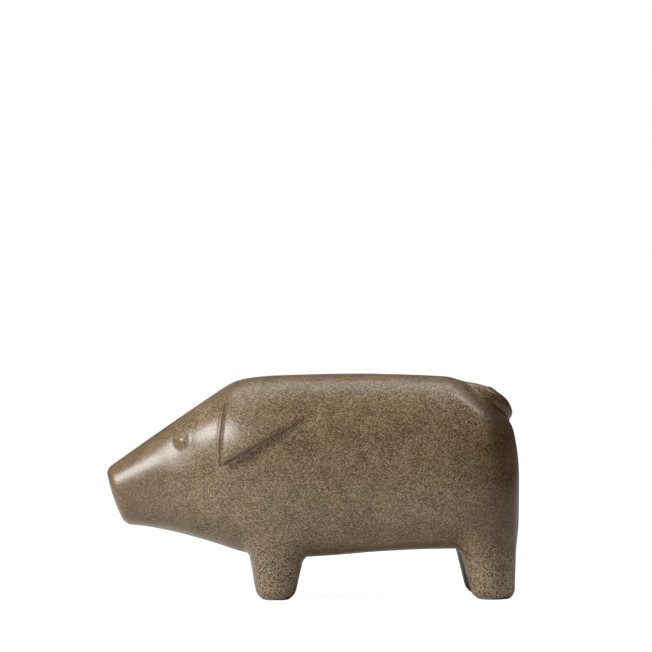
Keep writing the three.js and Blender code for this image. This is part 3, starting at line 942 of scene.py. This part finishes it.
@dataclass(frozen=True)
class GlazeRelief:
    """The soft hollows of a glaze that ran a little, as a Geometry Nodes tree."""

    depth: float = 0.12 * MM
    scale: float = 70
    seed: float = 4.0
    sole_clear: float = 4 * MM

    def tree(self, material: bpy.types.Material) -> bpy.types.NodeTree:
        """Builds the tree that moves each point inward along its normal.

        Args:
            material: what the result is dressed in.

        Returns:
            The tree, with inputs for its sizes.
        """
        tree = bpy.data.node_groups.new("glaze_relief", "GeometryNodeTree")
        face = tree.interface
        face.new_socket("Geometry", in_out="INPUT", socket_type="NodeSocketGeometry")
        for name in ("Depth", "Scale", "Seed", "Sole Clear"):
            face.new_socket(name, in_out="INPUT", socket_type="NodeSocketFloat")
        face.new_socket("Geometry", in_out="OUTPUT", socket_type="NodeSocketGeometry")
        nodes = Nodes(tree)
        given = nodes.add("NodeGroupInput").outputs
        place = nodes.add("GeometryNodeInputPosition").outputs[0]
        noise = nodes.add(
            "ShaderNodeTexNoise",
            {"Vector": place, "W": given["Seed"], "Scale": given["Scale"], "Detail": 1.0},
            noise_dimensions="4D",
        ).outputs[0]
        up = nodes.add("ShaderNodeSeparateXYZ", {0: place}).outputs["Z"]
        clear = nodes.add("ShaderNodeMapRange", {"Value": up, "From Max": given["Sole Clear"]}).outputs[0]
        sink = nodes.math("MULTIPLY", nodes.math("SUBTRACT", noise, 1.0), given["Depth"])
        normal = nodes.add("GeometryNodeInputNormal").outputs[0]
        depth = nodes.math("MULTIPLY", sink, clear)
        offset = nodes.add("ShaderNodeVectorMath", {0: normal, "Scale": depth}, operation="SCALE").outputs[0]
        moved = nodes.add("GeometryNodeSetPosition", {"Geometry": given["Geometry"], "Offset": offset})
        real = nodes.add("GeometryNodeRealizeInstances", {"Geometry": moved.outputs[0]})
        dressed = nodes.add("GeometryNodeSetMaterial", {"Geometry": real.outputs[0], "Material": material})
        nodes.add("NodeGroupOutput", {"Geometry": dressed.outputs[0]})
        return tree

    def apply(self, piece: bpy.types.Object, material: bpy.types.Material) -> None:
        """Runs the tree on a piece and keeps the result as its mesh.

        Args:
            piece: the mesh object.
            material: what the result is dressed in.
        """
        modifier = piece.modifiers.new("glaze_relief", "NODES")
        modifier.node_group = self.tree(material)
        values = {"Depth": self.depth, "Scale": self.scale, "Seed": self.seed, "Sole Clear": self.sole_clear}
        for item in modifier.node_group.interface.items_tree:
            if item.in_out == "INPUT" and item.name in values:
                modifier[item.identifier] = values[item.name]
        depsgraph = bpy.context.evaluated_depsgraph_get()
        before = piece.data
        baked = bpy.data.meshes.new_from_object(piece.evaluated_get(depsgraph), depsgraph=depsgraph)
        piece.modifiers.remove(modifier)
        piece.data = baked
        bpy.data.meshes.remove(before)


# The figurine

@dataclass
class PigFigurine:
    """The whole pig as one piece."""

    cell: float = 1.12
    margin: float = 4
    projection_steps: int = 5
    trunk: Trunk = field(default_factory=Trunk)
    snout: Snout = field(default_factory=Snout)
    rump: Rump = field(default_factory=Rump)
    legs: Legs = field(default_factory=Legs)
    ears: Ears = field(default_factory=Ears)
    eyes: Eyes = field(default_factory=Eyes)
    tail: Tail = field(default_factory=Tail)
    glaze: SpeckledGlaze = field(default_factory=SpeckledGlaze)
    relief: GlazeRelief = field(default_factory=GlazeRelief)

    def __post_init__(self) -> None:
        """Works out the places that every reading of the field needs."""
        self.eye = self.eyes.ball(self.trunk)
        self.socket = self.trunk.skin_beside(*self.trunk.place(*self.eyes.socket_place))
        self.tail_line = self.tail.line(self.trunk, self.rump)

    def at(self, x: np.ndarray, y: np.ndarray, z: np.ndarray) -> np.ndarray:
        """Reads the whole pig's field.

        Args:
            x: along the pig.
            y: across it.
            z: up.

        Returns:
            The field, negative inside the clay.
        """
        side = np.abs(y)
        from_eye = np.sqrt((x - self.eye[0]) ** 2 + (side - self.eye[1]) ** 2 + (z - self.eye[2]) ** 2)
        barrel = self.trunk.at(x, y, z) + self.eyes.socket(self.socket, x, side, z)
        ear = self.ears.at(self.trunk, x, z, barrel)
        pig = round_union(barrel, ear, self.ears.crease_radius) + self.ears.groove(self.trunk, x, z)
        pig = round_union(pig, from_eye - self.eyes.radius, self.eyes.crease_radius)
        pig = round_cut(pig, self.snout.at(self.trunk, x, y, z), self.snout.edge_radius)
        for pair in LegPair:
            pig = round_union(pig, self.legs.at(self.trunk, pair, x, y, z), self.legs.fillet_radius)
        pig = round_cut(pig, self.rump.wall(self.trunk, x, y, z), self.rump.corner_radius)
        pig = round_cut(pig, self.rump.slope(self.trunk, x, y, z), self.rump.slope_edge_radius)
        pig = np.maximum(round_cut(pig, -z - self.legs.sole_cut, self.legs.toe_radius), -z)
        return round_union(pig, self.tail.at(self.tail_line, x, y, z), self.tail.crease_radius)

    def onto_skin(self, points: np.ndarray) -> np.ndarray:
        """Moves points along the field's gradient onto its zero level.

        Args:
            points: rows of x, y and z.

        Returns:
            The moved points.
        """
        for _ in range(self.projection_steps):
            value = self.at(*points.T)
            slope = gradient(self.at, *points.T)
            steepness = np.maximum((slope**2).sum(axis=1), LEAST_STEEPNESS)
            move = np.clip(value / steepness, -self.cell, self.cell)
            points = points - move[:, None] * slope
        return points

    def build(self) -> bpy.types.Object:
        """Meshes the field and sets the mesh in the frame's own place.

        Returns:
            The piece, undressed.
        """
        half = np.array([self.trunk.length / 2, self.trunk.width / 2, 0]) + self.margin
        low = -half
        high = half + np.array([0, 0, self.trunk.height])
        lines = [np.arange(start, end, self.cell) for start, end in zip(low, high)]
        values = self.at(*np.meshgrid(*lines, indexing="ij", sparse=True))
        vertices, quads = skin_cells(fill_checkers(values))
        points = self.onto_skin(low + vertices * self.cell) * MM
        box_low, box_high = (np.array(corner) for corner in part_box(NODE))
        middle = (points.min(axis=0) + points.max(axis=0)) / 2
        shift = (box_low + box_high) / 2 - middle
        shift[2] = box_low[2] - points[:, 2].min()
        points = np.clip(points + shift, box_low, box_high)
        mesh = bpy.data.meshes.new(NODE + "_skin")
        mesh.from_pydata(points.tolist(), [], quads.tolist())
        mesh.validate()
        mesh.shade_smooth()
        piece = bpy.data.objects.new(NODE + "_skin", mesh)
        bpy.context.scene.collection.objects.link(piece)
        LOG.info("%s: %d points, %d quads", piece.name, len(points), len(quads))
        return piece

    def dress(self, piece: bpy.types.Object) -> None:
        """Glazes the piece and ties it to the frame.

        Args:
            piece: the undressed piece.
        """
        material = self.glaze.material(self.trunk, self.ears)
        piece.data.materials.append(material)
        self.relief.apply(piece, material)
        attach(piece, "root")
        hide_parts(NODE)


# The studio

@dataclass(frozen=True)
class Softbox:
    """One rectangular light."""

    name: str
    place: tuple[float, float, float]
    size: tuple[float, float]
    watts: float

    def build(self, aim: Vector) -> None:
        """Hangs the light, facing a point.

        Args:
            aim: the point.
        """
        light = bpy.data.lights.new(self.name, "AREA")
        light.shape = "RECTANGLE"
        light.size, light.size_y = self.size
        light.energy = self.watts
        lamp = bpy.data.objects.new(self.name, light)
        lamp.location = self.place
        lamp.rotation_euler = (aim - Vector(self.place)).to_track_quat("-Z", "Y").to_euler()
        bpy.context.scene.collection.objects.link(lamp)


@dataclass(frozen=True)
class Studio:
    """A white floor, soft lights, and the camera at the photograph's viewing angle."""

    softboxes: Sequence[Softbox] = (
        Softbox("key", (-1.35, -0.78, 1.15), (0.8, 0.55), 36),
        Softbox("top", (-0.1, 0.45, 1.5), (1.6, 1.0), 9),
        Softbox("ridge", (0.65, -0.02, 1.5), (0.5, 0.5), 5),
    )
    light_aim: tuple[float, float, float] = (0, 0, 0.07)
    floor_size: float = 30
    floor_tone: float = 0.88
    floor_roughness: float = 0.9
    floor_white: float = 0.97
    floor_shadow: float = 0.2
    white_zone: tuple[float, float] = (0.25, 0.5)
    surround: float = 0.05
    camera_azimuth: float = math.radians(-1.85)
    camera_distance: float = 2.4
    camera_height: float = 0.164
    aim_along: float = 0.0078
    frame_width: float = 0.3958
    sensor: float = 36

    def build(self) -> None:
        """Sets up floor, lights, surround and camera."""
        self.build_floor()
        for softbox in self.softboxes:
            softbox.build(Vector(self.light_aim))
        self.build_surround()
        self.build_camera()
        bpy.context.scene.view_settings.view_transform = "Standard"

    def build_floor(self) -> None:
        """Lays the floor."""
        half = self.floor_size / 2
        corners = [(-half, -half, 0), (half, -half, 0), (half, half, 0), (-half, half, 0)]
        mesh = bpy.data.meshes.new("floor")
        mesh.from_pydata(corners, [], [(0, 1, 2, 3)])
        floor = bpy.data.objects.new("floor", mesh)
        bpy.context.scene.collection.objects.link(floor)
        mesh.materials.append(self.paper())

    def paper(self) -> bpy.types.Material:
        """Makes the floor's paper, overexposed to the camera alone, as a cut-out photograph shows it.

        Returns:
            The material.
        """
        made = bpy.data.materials.new("floor_paper")
        made.use_nodes = True
        nodes = Nodes(made.node_tree)
        tone = (self.floor_tone,) * 3 + (1,)
        paper = {"Base Color": tone, "Roughness": self.floor_roughness}
        matt = nodes.add("ShaderNodeBsdfPrincipled", paper)
        place = nodes.add("ShaderNodeTexCoord").outputs["Object"]
        away = nodes.add("ShaderNodeVectorMath", {0: place}, operation="LENGTH").outputs["Value"]
        white = nodes.ramp(away, *self.white_zone, self.floor_white, 1.0)
        glow = nodes.add("ShaderNodeEmission", {"Color": WHITE, "Strength": white})
        faint = nodes.add("ShaderNodeBsdfDiffuse", {"Color": (self.floor_shadow,) * 3 + (1,)})
        shown = nodes.add("ShaderNodeAddShader", {0: glow.outputs[0], 1: faint.outputs[0]})
        seen = nodes.add("ShaderNodeLightPath").outputs["Is Camera Ray"]
        mixed = nodes.add("ShaderNodeMixShader", {0: seen, 1: matt.outputs[0], 2: shown.outputs[0]})
        nodes.add("ShaderNodeOutputMaterial", {"Surface": mixed.outputs[0]})
        return made

    def build_surround(self) -> None:
        """Lights the room evenly, and shows it white to the camera."""
        world = bpy.data.worlds.new("studio")
        world.use_nodes = True
        nodes = Nodes(world.node_tree)
        dim = nodes.add("ShaderNodeBackground", {"Color": WHITE, "Strength": self.surround})
        white = nodes.add("ShaderNodeBackground", {"Color": WHITE, "Strength": 1.0})
        seen = nodes.add("ShaderNodeLightPath").outputs["Is Camera Ray"]
        mixed = nodes.add("ShaderNodeMixShader", {0: seen, 1: dim.outputs[0], 2: white.outputs[0]})
        nodes.add("ShaderNodeOutputWorld", {"Surface": mixed.outputs[0]})
        bpy.context.scene.world = world

    def build_camera(self) -> None:
        """Sets the camera level, in front of the near flank."""
        data = bpy.data.cameras.new("camera")
        data.sensor_width = self.sensor
        data.lens = self.sensor * self.camera_distance / self.frame_width
        camera = bpy.data.objects.new("camera", data)
        back = Vector((math.sin(self.camera_azimuth), -math.cos(self.camera_azimuth), 0))
        camera.location = Vector((self.aim_along, 0, self.camera_height)) + back * self.camera_distance
        camera.rotation_euler = (-back).to_track_quat("-Z", "Y").to_euler()
        bpy.context.scene.collection.objects.link(camera)
        bpy.context.scene.camera = camera


def main() -> None:
    """Builds the studio and the figurine."""
    logging.basicConfig(level=logging.INFO, format="%(name)s: %(message)s")
    Studio().build()
    figurine = PigFigurine()
    piece = figurine.build()
    figurine.dress(piece)
    LOG.info("dressed %s", piece.name)


if __name__ == "__main__":
    main()
